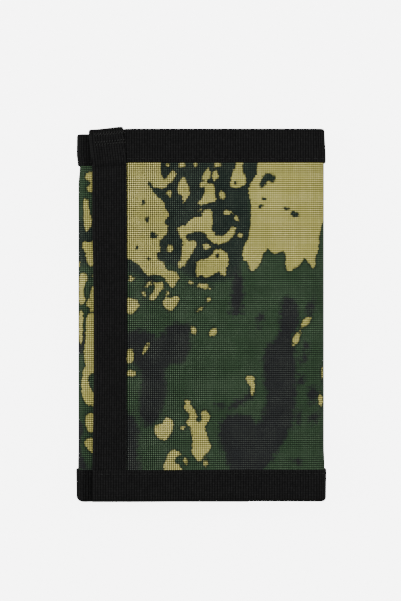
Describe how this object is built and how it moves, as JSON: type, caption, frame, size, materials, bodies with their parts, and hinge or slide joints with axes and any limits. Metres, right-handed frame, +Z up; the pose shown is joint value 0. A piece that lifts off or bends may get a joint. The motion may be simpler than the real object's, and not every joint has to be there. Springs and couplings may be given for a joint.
{
  "type": "trifold wallet",
  "caption": "Closed trifold wallet of camouflage nylon with black ribbon edges; two double folds open a flap and a zip-pocket wing over card pockets.",
  "frame": {"origin": "centre of the closed wallet's underside, on the surface that it lies on", "axes": "+Z up out of the front flap, +Y along the folds to the open top of the banknote compartment, +X to the flap's fold"},
  "size_m": [0.0834, 0.125, 0.0134],
  "materials": {
    "camouflage_cloth": "plain-woven nylon printed with khaki, green and black blotches",
    "ribbon": "black ribbed grosgrain",
    "lining_cloth": "black fine-woven nylon",
    "clear_film": "clear flexible vinyl",
    "hook_tape": "black nylon hooks",
    "loop_tape": "black brushed nylon loops",
    "zip_tape": "black woven zip tape",
    "zip_metal": "black enamelled zinc",
    "thread": "black polyester thread"
  },
  "bodies": {
    "back": {"bottom_binding_back": "ribbon", "card_pocket_1": "lining_cloth", "card_pocket_2": "lining_cloth", "card_pocket_3": "lining_cloth", "card_pocket_trim_1": "ribbon", "card_pocket_trim_2": "ribbon", "card_pocket_trim_3": "ribbon", "lining_back": "lining_cloth", "lining_binding_back": "ribbon", "pocket_bar_tacks": "thread", "shell_back": "camouflage_cloth", "top_binding_back": "ribbon"},
    "right_spine": {"bottom_binding_right_spine": "ribbon", "lining_binding_right_spine": "ribbon", "lining_right_spine": "lining_cloth", "shell_right_spine": "camouflage_cloth", "top_binding_right_spine": "ribbon"},
    "flap": {"bottom_binding_flap": "ribbon", "edge_binding_flap": "ribbon", "flap_corner_tacks": "thread", "hook_strip": "hook_tape", "identity_window": "clear_film", "lining_binding_flap": "ribbon", "lining_flap": "lining_cloth", "shell_flap": "camouflage_cloth", "top_binding_flap": "ribbon", "window_frame": "ribbon"},
    "left_spine": {"bottom_binding_left_spine": "ribbon", "lining_binding_left_spine": "ribbon", "lining_left_spine": "lining_cloth", "shell_left_spine": "camouflage_cloth", "top_binding_left_spine": "ribbon"},
    "wing": {"bottom_binding_wing": "ribbon", "coin_pocket_lower_panel": "lining_cloth", "coin_pocket_side_wall": "lining_cloth", "coin_pocket_upper_panel": "lining_cloth", "edge_binding_wing": "ribbon", "lining_binding_wing": "ribbon", "lining_wing": "lining_cloth", "loop_strip": "loop_tape", "shell_wing": "camouflage_cloth", "top_binding_wing": "ribbon", "zip_closed_stop": "zip_metal", "zip_open_stop": "zip_metal", "zip_tape_lower": "zip_tape", "zip_tape_upper": "zip_tape", "zip_teeth_lower": "zip_metal", "zip_teeth_upper": "zip_metal"},
    "slider": {"zip_slider": "zip_metal"},
    "pull": {"zip_pull": "zip_metal"}
  },
  "joints": [
    {"name": "flap_spine_fold", "type": "hinge", "parent": "back", "child": "right_spine", "pos_m": [0.04125, 0, 0.0005], "axis": [0, 1, 0], "range_deg": [0, 90]},
    {"name": "flap_fold", "type": "hinge", "parent": "right_spine", "child": "flap", "pos_m": [0.04125, 0, 0.0122], "axis": [0, 1, 0], "range_deg": [0, 90]},
    {"name": "wing_spine_fold", "type": "hinge", "parent": "back", "child": "left_spine", "pos_m": [-0.04125, 0, 0.0005], "axis": [0, -1, 0], "range_deg": [0, 45]},
    {"name": "wing_fold", "type": "hinge", "parent": "left_spine", "child": "wing", "pos_m": [-0.04125, 0, 0.0088], "axis": [0, -1, 0], "range_deg": [0, 49.5]},
    {"name": "zip_slide", "type": "slide", "parent": "wing", "child": "slider", "axis": [1, 0, 0], "range_m": [0, 0.032]},
    {"name": "pull_swivel", "type": "hinge", "parent": "slider", "child": "pull", "pos_m": [-0.0276, 0.04, 0.0037], "axis": [0, 0, 1], "range_deg": [-25, 25]}
  ],
  "couplings": [
    {"joint": "flap_fold", "follows": "flap_spine_fold", "ratio": 1},
    {"joint": "wing_spine_fold", "follows": "flap_spine_fold", "ratio": 0.5},
    {"joint": "wing_fold", "follows": "flap_spine_fold", "ratio": 0.55}
  ]
}
